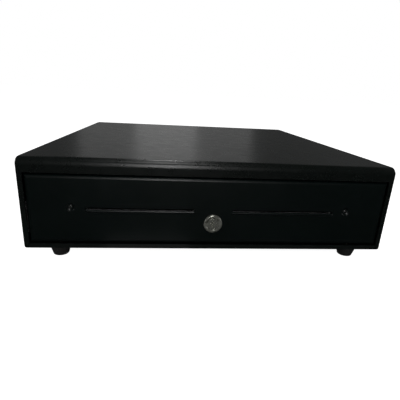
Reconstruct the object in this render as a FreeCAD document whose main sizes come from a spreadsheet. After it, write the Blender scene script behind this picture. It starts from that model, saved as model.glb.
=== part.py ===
import FreeCAD, Part
import math
import os
import sys
import Sketcher
from FreeCAD import Vector as V, Rotation as R, Placement as P

# Point-of-sale cash drawer: a sheet-steel cabinet on rubber feet, a drawer on ball-bearing slides, a key lock,
# an electric latch with ejector springs, and a lift-out till with a coin tray, note compartments and note clips.
#
# Frame: millimetres, +Z up, origin on the floor under the middle of the whole object, the front faces -Y.
# Distances written d(..) are measured backwards from the cabinet's front face.

doc = FreeCAD.newDocument("cash_drawer")
sheet = doc.addObject("Spreadsheet::Sheet", "dims")
OUT = "parts"
_row = [1]
finals = []


class Q:
    """A size that is both a number and the spreadsheet expression it comes from."""

    def __init__(self, text, val):
        self.text, self.val = text, float(val)

    @staticmethod
    def of(o):
        return o if isinstance(o, Q) else Q(repr(float(o)), o)

    def __add__(self, o):
        o = Q.of(o)
        return Q("(%s + %s)" % (self.text, o.text), self.val + o.val)

    __radd__ = __add__

    def __sub__(self, o):
        o = Q.of(o)
        return Q("(%s - %s)" % (self.text, o.text), self.val - o.val)

    def __rsub__(self, o):
        return Q.of(o) - self

    def __mul__(self, o):
        o = Q.of(o)
        return Q("(%s * %s)" % (self.text, o.text), self.val * o.val)

    __rmul__ = __mul__

    def __truediv__(self, o):
        o = Q.of(o)
        return Q("(%s / %s)" % (self.text, o.text), self.val / o.val)

    def __neg__(self):
        return Q("(0 - %s)" % self.text, -self.val)


def cell(alias, value, note):
    r = _row[0]
    sheet.set("A%d" % r, note)
    sheet.set("B%d" % r, str(value))
    sheet.setAlias("B%d" % r, alias)
    _row[0] += 1
    return Q("dims.%s" % alias, value)


def num(q):
    return q.val if isinstance(q, Q) else float(q)


def bind(obj, prop, q):
    if isinstance(q, Q):
        obj.setExpression(prop, q.text)
    else:
        holder, _, leaf = prop.rpartition(".")
        if holder == "Placement.Base":
            b = V(obj.Placement.Base)
            setattr(b, leaf, float(q))
            obj.Placement.Base = b
        else:
            setattr(obj, prop, float(q))


# ---------------------------------------------------------------- driving dimensions
case_w = cell("case_w", 410, "cabinet width")
case_d = cell("case_d", 415, "cabinet depth")
case_h = cell("case_h", 100, "cabinet height without feet")
foot_h = cell("foot_h", 13, "floor to the cabinet's underside")
front_y = cell("front_y", -207, "Y of the cabinet's front face")
ts = cell("sheet_t", 1.2, "cabinet sheet thickness")
td = cell("tray_t", 1, "drawer sheet thickness")
bend = cell("bend_r", 8, "cover front top bend radius")
bend_side = cell("bend_side", 3, "cover side top bend radius")
bend_corner = cell("bend_corner", 2, "cover upright front corner radius")
bend_low = cell("bend_low", 3.5, "cover lower bend radius")
lip_h = cell("lip_h", 16, "front lip of the cover")
strip_w = cell("strip_w", 6, "side strips beside the drawer front")
flange_w = cell("flange_w", 15, "cover bottom flanges")
fit = cell("fit_gap", 0.3, "clearance between nested sheet parts")
pan_up = cell("pan_up", 74, "top edge of the base pan's side flanges")
pan_lip = cell("pan_lip", 5, "height of the base pan's front lip")
front_x = cell("front_x", 198.2, "half width of the drawer front")
front_z0 = cell("front_z0", 19.5, "drawer front lower edge")
front_z1 = cell("front_z1", 95.5, "drawer front upper edge")
front_ret = cell("front_ret", 7.5, "drawer front return depth")
front_r = cell("front_r", 4, "drawer front edge radius")
tray_x = cell("tray_x", 190, "half width of the drawer tray")
tray_z0 = cell("tray_z0", 20.8, "underside of the drawer tray")
tray_z1 = cell("tray_z1", 90, "top edge of the drawer tray")
tray_d1 = cell("tray_d1", 347.5, "back of the drawer tray")
lock_z = cell("lock_z", 44, "height of the lock axis")
lock_r = cell("lock_r", 8.7, "lock barrel radius")
lock_fr = cell("lock_fr", 10.4, "lock flange radius")
lock_face = cell("lock_face", 2.5, "lock flange stands proud by")
plug_r = cell("plug_r", 6.4, "lock plug radius")
cam_len = cell("cam_len", 27, "lock cam length from the axis")
slot_in = cell("slot_in", 21.5, "inner end of a media slot")
slot_out = cell("slot_out", 137.5, "outer end of a media slot")
slot_z0 = cell("slot_z0", 58, "media slot mouth lower edge")
slot_zm = cell("slot_zm", 59.6, "media slot mouth upper edge")
slot_z1 = cell("slot_z1", 60.4, "top of the pressed ramp over a media slot")
screw_x = cell("screw_x", 153.5, "front fixing screws from centre")
screw_z = cell("screw_z", 60.5, "front fixing screws height")
dimple_r = cell("dimple_r", 4.8, "radius of the dimple round a front screw")
dimple_deep = cell("dimple_deep", 2.2, "depth of that dimple")
dimple_R = cell("dimple_ball", 6.3364, "sphere radius of that dimple")
foot_x = cell("foot_x", 171, "feet from centre")
foot_df = cell("foot_df", 15.5, "feet from the front and rear faces")
foot_rt = cell("foot_rt", 12, "foot radius at the top")
foot_rb = cell("foot_rb", 8.5, "foot radius at the floor")
slide_z = cell("slide_z", 45, "slide centre height")
slide_len = cell("slide_len", 360, "drawer slide member length")
slide_gap = cell("slide_gap", 12.3, "slide thickness across both members")
travel = cell("travel", 270, "drawer travel")
ball_r = cell("ball_r", 2, "slide ball radius")
cage_len = cell("cage_len", 90, "ball cage length")
till_x = cell("till_x", 187, "half width of the till")
till_d0 = cell("till_d0", 31.5, "front of the till")
till_d1 = cell("till_d1", 344.5, "back of the till")
till_zb = cell("till_zb", 34, "underside of the till")
till_zc = cell("till_zc", 42, "floor of the coin section")
till_z1 = cell("till_z1", 92, "top of the till")
till_t = cell("till_t", 2, "till wall thickness")
till_mid = cell("till_mid", 146, "front face of the till's cross wall")
pitch = cell("pitch", 74, "compartment pitch")
scoop_r = cell("scoop_r", 62, "coin scoop radius")
clip_d = cell("clip_d", 318, "note clip pivot from the front face")
clip_z = cell("clip_z", 84, "note clip pivot height")
pin_d = cell("pin_d", 359.5, "striker pin from the front face")
pin_z = cell("pin_z", 56, "striker pin height")
latch_d = cell("latch_d", 376, "latch pivot from the front face")
latch_z = cell("latch_z", 64, "latch pivot height")
sol_arm = cell("sol_arm", 22, "latch pivot to solenoid axis")
cross_d = cell("cross_d", 372, "rear crossmember from the front face")
eject_x = cell("eject_x", 62, "ejector springs from centre")
buffer_x = cell("buffer_x", 150, "stop buffers from centre")
switch_x = cell("switch_x", 105, "open sensor from centre")
jack_x = cell("jack_x", 130, "interface socket from centre")
jack_z = cell("jack_z", 52, "interface socket height")

doc.recompute()
HW = case_w / 2
Z0 = foot_h
Z1 = foot_h + case_h
PAN = Z0 + ts * 2
FLOOR = tray_z0 + td


def d(v):
    """Y of a point v millimetres behind the front face."""
    return front_y + v


# ---------------------------------------------------------------- Part helpers
def block(name, x, y, z):
    o = doc.addObject("Part::Box", name)
    for prop, (a, b) in (("Length", x), ("Width", y), ("Height", z)):
        q = Q.of(b) - Q.of(a)
        o.setExpression(prop, q.text)
    for leaf, (a, _) in (("x", x), ("y", y), ("z", z)):
        bind(o, "Placement.Base." + leaf, a)
    return o


AXIS = {"x": R(V(0, 1, 0), 90), "y": R(V(1, 0, 0), -90), "z": R()}


def rod(name, axis, r, centre, span, r2=None):
    """Cylinder, or cone with r2, along axis; centre is the other two coordinates in x, y, z order."""
    o = doc.addObject("Part::Cylinder" if r2 is None else "Part::Cone", name)
    o.Placement = P(V(), AXIS[axis])
    if r2 is None:
        bind(o, "Radius", r)
    else:
        bind(o, "Radius1", r)
        bind(o, "Radius2", r2)
    o.setExpression("Height", (Q.of(span[1]) - Q.of(span[0])).text)
    rest = [a for a in "xyz" if a != axis]
    bind(o, "Placement.Base." + axis, span[0])
    bind(o, "Placement.Base." + rest[0], centre[0])
    bind(o, "Placement.Base." + rest[1], centre[1])
    return o


def fuse(name, shapes):
    if len(shapes) == 1:
        return shapes[0]
    o = doc.addObject("Part::MultiFuse", name)
    o.Shapes = shapes
    return o


def cut(name, base, tools):
    o = doc.addObject("Part::Cut", name)
    o.Base = base
    o.Tool = fuse(name + "_tools", tools)
    return o


def group(name, shapes):
    o = doc.addObject("Part::Compound", name)
    o.Links = shapes
    return o


def edges_where(shape, pred):
    found = []
    for i, e in enumerate(shape.Edges, 1):
        c = e.BoundBox
        if pred(c, e):
            found.append(i)
    return found


def fillet(name, base, radius, pred):
    doc.recompute()
    o = doc.addObject("Part::Fillet", name)
    o.Base = base
    ids = edges_where(base.Shape, pred)
    if not ids:
        sys.exit("fillet %s found no edges" % name)
    o.Edges = [(i, num(radius), num(radius)) for i in ids]
    doc.recompute()
    return o


def final(obj, label):
    obj.Label = label
    finals.append(obj)
    return obj


def near(a, b, tol=0.02):
    return abs(a - b) < tol


# ---------------------------------------------------------------- PartDesign helpers
def body(name):
    return doc.addObject("PartDesign::Body", name)


def plane(b, role):
    return [f for f in b.Origin.OriginFeatures if f.Role == role][0]


def sketch(b, name, role, offset=0):
    sk = b.newObject("Sketcher::SketchObject", name)
    sk.AttachmentSupport = (plane(b, role), "")
    sk.MapMode = "FlatFace"
    if isinstance(offset, Q):
        sk.setExpression("AttachmentOffset.Base.z", offset.text)
        sk.AttachmentOffset = P(V(0, 0, offset.val), R())
    elif offset:
        sk.AttachmentOffset = P(V(0, 0, offset), R())
    return sk


def _tie(sk, geo, pos, q, axis, key):
    v = num(q)
    kind = "DistanceX" if axis == "x" else "DistanceY"
    if abs(v) < 1e-9:
        sk.addConstraint(Sketcher.Constraint("PointOnObject", geo, pos, -2 if axis == "x" else -1))
        return
    n = sk.addConstraint(Sketcher.Constraint(kind, -1, 1, geo, pos, v))
    sk.renameConstraint(n, key)
    if isinstance(q, Q):
        sk.setExpression("Constraints." + key, q.text)


def poly(sk, pts, tag="a"):
    """Closed polygon; each corner is tied to the sheet."""
    n, first = len(pts), sk.GeometryCount
    vs = [V(num(x), num(y), 0) for x, y in pts]
    for i in range(n):
        sk.addGeometry(Part.LineSegment(vs[i], vs[(i + 1) % n]), False)
    for i in range(n):
        sk.addConstraint(Sketcher.Constraint("Coincident", first + i, 2, first + (i + 1) % n, 1))
    for i, (x, y) in enumerate(pts):
        _tie(sk, first + i, 1, x, "x", "%s%dx" % (tag, i))
        _tie(sk, first + i, 1, y, "y", "%s%dy" % (tag, i))


def ring(sk, x, y, r, tag="c"):
    g = sk.addGeometry(Part.Circle(V(num(x), num(y), 0), V(0, 0, 1), num(r)), False)
    n = sk.addConstraint(Sketcher.Constraint("Radius", g, num(r)))
    sk.renameConstraint(n, tag + "r")
    if isinstance(r, Q):
        sk.setExpression("Constraints." + tag + "r", r.text)
    _tie(sk, g, 3, x, "x", tag + "x")
    _tie(sk, g, 3, y, "y", tag + "y")


def rect(x0, x1, y0, y1):
    return [(x0, y0), (x1, y0), (x1, y1), (x0, y1)]


def extrude(b, sk, name, length, kind="PartDesign::Pad", reverse=False, mid=False):
    f = b.newObject(kind, name)
    f.Profile = sk
    bind(f, "Length", length)
    f.Reversed = reverse
    if hasattr(f, "Midplane"):
        f.Midplane = mid
    else:
        f.SideType = "Symmetric" if mid else "One side"
    doc.recompute()
    return f


def pocket(b, sk, name, length, reverse=False, mid=False):
    before = b.Shape.Volume
    f = extrude(b, sk, name, length, "PartDesign::Pocket", reverse, mid)
    if not b.Shape.Volume < before - 1e-6:
        sys.exit("pocket %s cut nothing" % name)
    return f


def soften(b, name, radius, pred):
    tip = b.Tip
    ids = edges_where(tip.Shape, pred)
    if not ids:
        sys.exit("fillet %s found no edges" % name)
    f = b.newObject("PartDesign::Fillet", name)
    f.Base = (tip, ["Edge%d" % i for i in ids])
    bind(f, "Radius", radius)
    doc.recompute()
    return f


def along(c, axis, tol=0.02):
    """True for a straight edge's box that runs along one axis only."""
    s = {"x": c.XLength, "y": c.YLength, "z": c.ZLength}
    return s[axis] > 0.5 and all(v < tol for k, v in s.items() if k != axis)


def pad_y(b, name, pts, y0, y1):
    """Profile in x, z carried from y0 to y1."""
    sk = sketch(b, name + "_sketch", "XZ_Plane", Q.of(0) - Q.of(y1))
    poly(sk, pts)
    return extrude(b, sk, name, Q.of(y1) - Q.of(y0))


def pad_x(b, name, pts, x0, x1):
    """Profile in y, z carried from x0 to x1."""
    sk = sketch(b, name + "_sketch", "YZ_Plane", Q.of(x0))
    poly(sk, pts)
    return extrude(b, sk, name, Q.of(x1) - Q.of(x0))


def pad_z(b, name, pts, z0, z1):
    """Profile in x, y carried from z0 to z1."""
    sk = sketch(b, name + "_sketch", "XY_Plane", Q.of(z0))
    poly(sk, pts)
    return extrude(b, sk, name, Q.of(z1) - Q.of(z0))


def cut_y(b, name, outlines, y0, y1):
    sk = sketch(b, name + "_sketch", "XZ_Plane", Q.of(0) - Q.of(y0))
    return _cut(b, sk, name, outlines, Q.of(y1) - Q.of(y0))


def cut_x(b, name, outlines, x0, x1):
    sk = sketch(b, name + "_sketch", "YZ_Plane", Q.of(x1))
    return _cut(b, sk, name, outlines, Q.of(x1) - Q.of(x0))


def cut_z(b, name, outlines, z0, z1):
    sk = sketch(b, name + "_sketch", "XY_Plane", Q.of(z1))
    return _cut(b, sk, name, outlines, Q.of(z1) - Q.of(z0))


def _cut(b, sk, name, outlines, length):
    """Outlines are corner lists, or (u, v, radius) circles."""
    for i, o in enumerate(outlines):
        if isinstance(o, tuple):
            ring(sk, o[0], o[1], o[2], "k%d" % i)
        else:
            poly(sk, o, "p%d" % i)
    return pocket(b, sk, name, length)


def mirror(name, src, axis="x", at=0):
    o = doc.addObject("Part::Mirroring", name)
    o.Source = src
    o.Normal = V(1, 0, 0) if axis == "x" else V(0, 1, 0)
    if axis == "y":
        bind(o, "Base.y", at) if isinstance(at, Q) else setattr(o, "Base", V(0, at, 0))
    return o


def ball(name, r, x, y, z):
    o = doc.addObject("Part::Sphere", name)
    bind(o, "Radius", r)
    for leaf, q in (("x", x), ("y", y), ("z", z)):
        bind(o, "Placement.Base." + leaf, q)
    return o


def coil(name, r, wire, pitch_, length, axis, at):
    """Coil spring along axis, from at."""
    h = doc.addObject("Part::Helix", name + "_path")
    h.Pitch, h.Height, h.Radius = pitch_, length, r
    c = doc.addObject("Part::Circle", name + "_wire")
    c.Radius = wire
    c.Placement = P(V(r, 0, 0), R(V(1, 0, 0), 90))
    s = doc.addObject("Part::Sweep", name)
    s.Sections = [c]
    s.Spine = (h, ["Edge1"])
    s.Solid, s.Frenet = True, True
    s.Placement = P(V(*[num(q) for q in at]), AXIS[axis])
    return s


def fillets(name, base, rules):
    """Part fillet with one radius per rule."""
    doc.recompute()
    o = doc.addObject("Part::Fillet", name)
    o.Base = base
    edges, seen = [], set()
    for radius, pred in rules:
        ids = [i for i in edges_where(base.Shape, pred) if i not in seen]
        if not ids:
            sys.exit("fillet %s found no edges" % name)
        seen.update(ids)
        edges += [(i, num(radius), num(radius)) for i in ids]
    o.Edges = edges
    doc.recompute()
    return o


# ================================================================ cabinet
# Top cover: one folded sheet shell, open at the back, with a front lip, side strips and bottom flanges.
D1 = case_d
o = block("cover_outer", (-HW, HW), (d(0), d(D1)), (Z0, Z1))
o = fillets("cover_outer_round", o, [
    (bend_side, lambda c, e: along(c, "y") and near(c.ZMax, Z1.val)),
    (bend, lambda c, e: along(c, "x") and near(c.ZMax, Z1.val) and near(c.YMin, front_y.val)),
    (bend_corner, lambda c, e: along(c, "z") and near(c.YMin, front_y.val)),
    (bend_low, lambda c, e: along(c, "y") and near(c.ZMin, Z0.val)),
])
i = block("cover_inner", (-(HW - ts), HW - ts), (d(ts), d(D1 + 5)), (Z0 + ts, Z1 - ts))
i = fillets("cover_inner_round", i, [
    (bend_side - ts, lambda c, e: along(c, "y") and near(c.ZMax, (Z1 - ts).val)),
    (bend - ts, lambda c, e: along(c, "x") and near(c.ZMax, (Z1 - ts).val) and near(c.YMin, d(ts).val)),
    (bend_corner - ts, lambda c, e: along(c, "z") and near(c.YMin, d(ts).val)),
    (bend_low - ts, lambda c, e: along(c, "y") and near(c.ZMin, (Z0 + ts).val)),
])
shell = cut("cover_shell", o, [i])
OX = HW - strip_w
cover_cuts = [
    block("cover_mouth", (-OX, OX), (d(-5), d(ts + 0.1)), (Z0 - 5, Z1 - lip_h)),
    block("cover_floor_opening", (-(HW - flange_w), HW - flange_w), (d(ts), d(D1 + 5)), (Z0 - 5, Z0 + ts + 0.1)),
]
COVER_SCREW_D = (40, 207.5, 375)
for n, dd in enumerate(COVER_SCREW_D):
    for side in (-1, 1):
        cover_cuts.append(rod("cover_hole_%d%s" % (n, "lr"[side > 0]), "z", 1.6, (side * 196.5, d(dd)),
                              (Z0 - 2, Z0 + ts + 1)))
shell = cut("cover_cut", shell, cover_cuts)
hem = block("cover_hem", (-(OX - 0.2), OX - 0.2), (d(ts), d(8)), (Z1 - lip_h, Z1 - lip_h + ts))
final(fuse("cover", [shell, hem]), "top_cover")

# Base pan: folded sheet with side flanges, a low front lip and a rear flange.
PX = HW - ts - fit
b = body("pan")
pad_y(b, "pan_u", [(-PX, Z0 + ts), (PX, Z0 + ts), (PX, pan_up), (PX - ts, pan_up), (PX - ts, PAN),
                   (-(PX - ts), PAN), (-(PX - ts), pan_up), (-PX, pan_up)], d(8), d(D1 - ts - fit))
soften(b, "pan_bends", 2.5, lambda c, e: along(c, "y") and near(c.ZMin, (Z0 + ts).val) and near(c.ZMax, (Z0 + ts).val))
soften(b, "pan_bends_in", 1.3, lambda c, e: along(c, "y") and near(c.ZMax, PAN.val))
LX = OX - fit
pad_x(b, "pan_lip_form", [(d(0), Z0), (d(ts), Z0), (d(ts), Z0 + ts), (d(8), Z0 + ts), (d(8), PAN), (d(ts), PAN),
                          (d(ts), Z0 + pan_lip), (d(0), Z0 + pan_lip)], -LX, LX)
pad_x(b, "pan_rear_flange", [(d(D1 - ts - fit - ts), PAN - 0.5), (d(D1 - ts - fit), PAN - 0.5),
                             (d(D1 - ts - fit), 32), (d(D1 - ts - fit - ts), 32)], -196, 196)
pad_x(b, "pan_keeper", [(d(18.4), PAN - 0.5), (d(19.8), PAN - 0.5), (d(19.8), 20), (d(18.4), 20)], -14, 14)
holes = []
for dd in COVER_SCREW_D:
    holes += [(-196.5, d(dd), 1.5), (196.5, d(dd), 1.5)]
for dd in (foot_df, case_d - foot_df):
    holes += [(-foot_x, d(dd), 2.1), (foot_x, d(dd), 2.1)]
for x in (-168, -40, 40, 168):
    holes.append((x, d(379.5), 1.6))
cut_z(b, "pan_floor_holes", holes, Z0 - 1, PAN + 0.5)
RIVET_D = (30, 200, 370)
for side, n in ((-1, "l"), (1, "r")):
    a0, a1 = (PX - ts - 1, PX + 1) if side > 0 else (-(PX + 1), -(PX - ts - 1))
    cut_x(b, "pan_rivet_holes_" + n, [(d(v), slide_z, 2.4) for v in RIVET_D], a0, a1)
cut_y(b, "pan_rear_holes", [(x, 25, 1.5) for x in (-150, 150)], d(D1 - 5), d(D1))
final(b, "base_pan")

# Rear panel: plate with forward flanges inside the cover.
b = body("rear")
RD0 = D1 - ts
pad_y(b, "rear_plate", rect(-PX, PX, Z0 + ts + fit, Z1 - ts - fit), d(RD0), d(D1))
soften(b, "rear_corners", 2, lambda c, e: along(c, "y"))
pad_x(b, "rear_top_flange", [(d(401), Z1 - ts - fit - ts), (d(RD0 + 0.2), Z1 - ts - fit - ts),
                             (d(RD0 + 0.2), Z1 - ts - fit), (d(401), Z1 - ts - fit)], -196, 196)
for side, n in ((-1, "l"), (1, "r")):
    a0, a1 = (PX - ts, PX) if side > 0 else (-PX, -(PX - ts))
    pad_y(b, "rear_side_flange_" + n, rect(a0, a1, 78, 104), d(401), d(RD0 + 0.2))
cut_y(b, "rear_holes", [(x, 25, 1.6) for x in (-150, 150)] + [(x, 104, 1.5) for x in (-150, 150)]
      + [rect(jack_x - 7.2, jack_x + 7.2, jack_z - 6.7, jack_z + 6.7)], d(D1 - 3), d(D1 + 1))
final(b, "rear_panel")

# Fixings of the sheet parts.
screws = []
for n, dd in enumerate(COVER_SCREW_D):
    h = rod("cover_screw_head_%d" % n, "z", 3.2, (196.5, d(dd)), (Z0 - 1.5, Z0))
    s = rod("cover_screw_shank_%d" % n, "z", 1.5, (196.5, d(dd)), (Z0 - 0.2, PAN + 3))
    r = cut("cover_screw_r%d" % n, fuse("cover_screw_solid_%d" % n, [h, s]),
            [block("cover_screw_slot_%d" % n, (193.8, 199.2), (d(dd - 0.4), d(dd + 0.4)), (Z0 - 2, Z0 - 0.8))])
    screws += [r, mirror("cover_screw_l%d" % n, r)]
final(group("cover_screw_set", screws), "cover_screws")
screws = []
for n, zz in enumerate((25, 104)):
    h = rod("rear_screw_head_%d" % n, "y", 3.3, (150, zz), (d(D1), d(D1 + 1.5)))
    s = rod("rear_screw_shank_%d" % n, "y", 1.5, (150, zz), (d(D1 - 6), d(D1 + 0.2)))
    r = cut("rear_screw_r%d" % n, fuse("rear_screw_solid_%d" % n, [h, s]),
            [block("rear_screw_slot_a%d" % n, (148, 152), (d(D1 + 0.6), d(D1 + 2)), (zz - 0.4, zz + 0.4)),
             block("rear_screw_slot_b%d" % n, (149.6, 150.4), (d(D1 + 0.6), d(D1 + 2)), (zz - 2, zz + 2))])
    screws += [r, mirror("rear_screw_l%d" % n, r)]
final(group("rear_screw_set", screws), "rear_panel_screws")

# Rubber feet: tapered, two grooves round the side, screwed up into the pan from inside a recess.
b = body("foot")
sk = sketch(b, "foot_profile", "XZ_Plane")
prof = [(4.6, 0), (foot_rb - 0.6, 0), (foot_rb, 0.6), (foot_rt, foot_h), (foot_rt, Z0 + ts), (2.1, Z0 + ts), (2.1, 5), (4.6, 5)]
poly(sk, prof)
f = b.newObject("PartDesign::Revolution", "foot_turn")
f.Profile = sk
f.ReferenceAxis = (sk, ["V_Axis"])
f.Angle = 360
doc.recompute()
YC = d(case_d / 2)


def four(name, src, x, dist):
    """src stands at x, d(dist); its mirror images make the set of four."""
    m = mirror(name + "_m", src)
    pair = group(name + "_pair", [src, m])
    rear = mirror(name + "_rear", pair, "y", YC)
    return group(name + "_set", [pair, rear])


flutes = []
tilt = math.degrees(math.atan2(num(foot_rt) - num(foot_rb), num(foot_h)))
for k in range(20):
    o = doc.addObject("Part::Cylinder", "foot_flute_%d" % k)
    o.Radius, o.Height = 0.8, 9.6
    turn = R(V(0, 0, 1), 18 * k)
    o.Placement = P(turn.multVec(V(num(foot_rb) + 0.25, 0, 0)), turn.multiply(R(V(0, 1, 0), tilt)))
    flutes.append(o)
b = cut("foot_fluted", b, flutes)
bind(b, "Placement.Base.x", foot_x)
bind(b, "Placement.Base.y", d(foot_df))
final(four("feet", b, foot_x, foot_df), "rubber_feet")
h = rod("foot_screw_head", "z", 4, (foot_x, d(foot_df)), (2.8, 5))
s = rod("foot_screw_shank", "z", 2, (foot_x, d(foot_df)), (4.8, PAN + 2.2))
c = block("foot_screw_slot", (foot_x - 3, foot_x + 3), (d(foot_df - 0.5), d(foot_df + 0.5)), (2, 3.9))
final(four("foot_screw", cut("foot_screw_one", fuse("foot_screw_solid", [h, s]), [c]), foot_x, foot_df), "foot_screws")

# ================================================================ slides
# Each slide is a 35 mm cabinet channel, a 27 mm drawer channel inside it and two ball rows in a cage.
SX = PX - ts
IX = SX - slide_gap
SL0 = 9
b = body("cab_slide")
pad_y(b, "cab_slide_c", [(SX, slide_z - 17.5), (SX, slide_z + 17.5), (SX - 9.5, slide_z + 17.5), (SX - 9.5, slide_z + 16.3),
                         (SX - 1.2, slide_z + 16.3), (SX - 1.2, slide_z - 16.3), (SX - 9.5, slide_z - 16.3),
                         (SX - 9.5, slide_z - 17.5)], d(SL0), d(SL0 + 380))
cut_x(b, "cab_slide_holes", [(d(v), slide_z, 2.4) for v in RIVET_D], SX - 2, SX + 1)
final(b, "cabinet_slide_right")
final(mirror("cab_slide_l", b), "cabinet_slide_left")
b = body("drw_slide")
pad_y(b, "drw_slide_c", [(IX, slide_z - 11.5), (IX + 8.3, slide_z - 11.5), (IX + 8.3, slide_z - 10.3), (IX + 1.2, slide_z - 10.3),
                         (IX + 1.2, slide_z + 10.3), (IX + 8.3, slide_z + 10.3), (IX + 8.3, slide_z + 11.5),
                         (IX, slide_z + 11.5)], d(SL0), d(SL0 + slide_len - 22))
TR_D = (40, 190, 330)
cut_x(b, "drw_slide_holes", [(d(v), slide_z, 2.4) for v in TR_D], IX - 1, IX + 2)
final(b, "drawer_slide_right")
final(mirror("drw_slide_l", b), "drawer_slide_left")
r = [rod("slide_rivet_%d" % n, "x", 2.4, (d(v), slide_z), (SX - 1.2, SX + ts)) for n, v in enumerate(RIVET_D)]
g = group("slide_rivets_r", r)
final(group("slide_rivet_set", [g, mirror("slide_rivets_l", g)]), "slide_rivets")
r = [rod("tray_rivet_%d" % n, "x", 2.4, (d(v), slide_z), (IX - td - 0.6, IX + 1.2)) for n, v in enumerate(TR_D)]
g = group("tray_rivets_r", r)
final(group("tray_rivet_set", [g, mirror("tray_rivets_l", g)]), "tray_rivets")
# Ball cage: a thin channel with round pockets, one row of balls above and one below.
CG0 = 144
b = body("cage")
pad_y(b, "cage_c", [(SX - 1.55, slide_z - 14.1), (SX - 1.55, slide_z + 14.1), (SX - 9.3, slide_z + 14.1), (SX - 9.3, slide_z + 13.7),
                    (SX - 1.95, slide_z + 13.7), (SX - 1.95, slide_z - 13.7), (SX - 9.3, slide_z - 13.7),
                    (SX - 9.3, slide_z - 14.1)], d(CG0), d(CG0 + cage_len))
BALLS = [CG0 + 7.5 + 15 * k for k in range(6)]
BX = SX - 6.6
cut_z(b, "cage_pockets", [(BX, d(v), ball_r + 0.08) for v in BALLS], slide_z - 16, slide_z + 16)
final(group("ball_cage_set", [b, mirror("cage_l", b)]), "ball_cages")
bs = []
for k, v in enumerate(BALLS):
    for zz, n in ((slide_z + 13.9, "t"), (slide_z - 13.9, "b")):
        bs.append(ball("ball_%d%s" % (k, n), ball_r, BX, d(v), zz))
g = group("balls_r", bs)
final(group("ball_set", [g, mirror("balls_l", g)]), "slide_balls")

# ================================================================ drawer
# Tray: one folded sheet box.
b = body("tray")
TD0 = 7.5
pad_z(b, "tray_block", rect(-tray_x, tray_x, d(TD0), d(tray_d1)), tray_z0, tray_z1)
cut_z(b, "tray_hollow", [rect(-(tray_x - td), tray_x - td, d(TD0 + td), d(tray_d1 - td))], FLOOR, tray_z1 + 1)
cut_y(b, "tray_front_openings", [(0, lock_z, lock_r + 0.1), (-screw_x, screw_z, 1.5), (screw_x, screw_z, 1.5),
                                 rect(slot_in, slot_out, slot_z0 - 2, slot_z1 + 2),
                                 rect(-slot_out, -slot_in, slot_z0 - 2, slot_z1 + 2)], d(TD0 - 1), d(TD0 + td + 1))
cut_z(b, "tray_cam_slot", [rect(-9, 21, d(19.4), d(24.2))], tray_z0 - 1, FLOOR + 1)
for side, n in ((-1, "l"), (1, "r")):
    a0, a1 = (tray_x - td - 1, tray_x + 1) if side > 0 else (-(tray_x + 1), -(tray_x - td - 1))
    cut_x(b, "tray_rivet_holes_" + n, [(d(v), slide_z, 2.4) for v in TR_D], a0, a1)
soften(b, "tray_bends", 0.9, lambda c, e: (along(c, "y") or along(c, "x")) and near(c.ZMin, tray_z0.val)
       and (near(abs(c.XMax), 190) or near(c.YMax, d(tray_d1).val) or near(c.YMin, d(TD0).val)) and c.DiagonalLength > 300)
final(b, "drawer_tray")

# Drawer front: pressed panel with turned edges, two media slots with a rolled lower lip, and the lock hole.
o = block("front_outer", (-front_x, front_x), (d(0), d(front_ret)), (front_z0, front_z1))
o = fillets("front_outer_round", o, [
    (front_r, lambda c, e: (along(c, "x") or along(c, "z")) and near(c.YMax, front_y.val))])
i = block("front_hollow", (-(front_x - ts), front_x - ts), (d(ts), d(front_ret - ts)), (front_z0 + ts, front_z1 - ts))
i = fillets("front_hollow_round", i, [(2.8, lambda c, e: (along(c, "x") or along(c, "z")) and near(c.YMax, d(ts).val))])
tools = [i, block("front_back_opening", (-185, 185), (d(front_ret - ts - 0.5), d(front_ret + 1)), (33, 82)),
         rod("front_lock_hole", "y", lock_r + 0.1, (0, lock_z), (d(-1), d(5)))]
for side, n in ((-1, "l"), (1, "r")):
    a0, a1 = (slot_in, slot_out) if side > 0 else (-slot_out, -slot_in)
    tools.append(block("front_slot_" + n, (a0, a1), (d(-1), d(ts + 1)), (slot_z0 - 1, slot_z1)))
    tools.append(rod("front_sink_" + n, "y", dimple_r, (side * screw_x, screw_z), (d(-1), d(5))))
front = cut("front_panel_cut", o, tools)
adds = [front]
for side, n in ((-1, "l"), (1, "r")):
    a0, a1 = (slot_in, slot_out) if side > 0 else (-slot_out, -slot_in)
    b = body("slot_ramp_" + n)
    pad_x(b, "slot_ramp_form_" + n, [(d(0), slot_z1), (d(ts), slot_z1), (d(5), slot_zm + 0.6), (d(5), slot_zm - 0.6),
                                     (d(4.2), slot_zm)], a0 - 0.01, a1 + 0.01)
    adds.append(b)
    adds.append(rod("slot_lip_" + n, "x", 1.5, (d(0.2), slot_z0 - 1.5), (a0 + 0.8, a1 - 0.8)))
    adds.append(ball("slot_lip_in_" + n, 1.5, a0 + 0.8, d(0.2), slot_z0 - 1.5))
    adds.append(ball("slot_lip_out_" + n, 1.5, a1 - 0.8, d(0.2), slot_z0 - 1.5))
    cup = doc.addObject("Part::Common", "dimple_cup_" + n)
    cup.Base = ball("dimple_out_" + n, dimple_R + 1.1, side * screw_x, d(dimple_deep) - dimple_R, screw_z)
    cup.Tool = rod("dimple_keep_" + n, "y", dimple_r + 1.1, (side * screw_x, screw_z), (d(0), d(5)))
    adds.append(cut("dimple_" + n, cup, [
        ball("dimple_in_" + n, dimple_R, side * screw_x, d(dimple_deep) - dimple_R, screw_z),
        rod("dimple_hole_" + n, "y", 1.6, (side * screw_x, screw_z), (d(0), d(6)))]))
final(fuse("front_panel", adds), "drawer_front")

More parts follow.
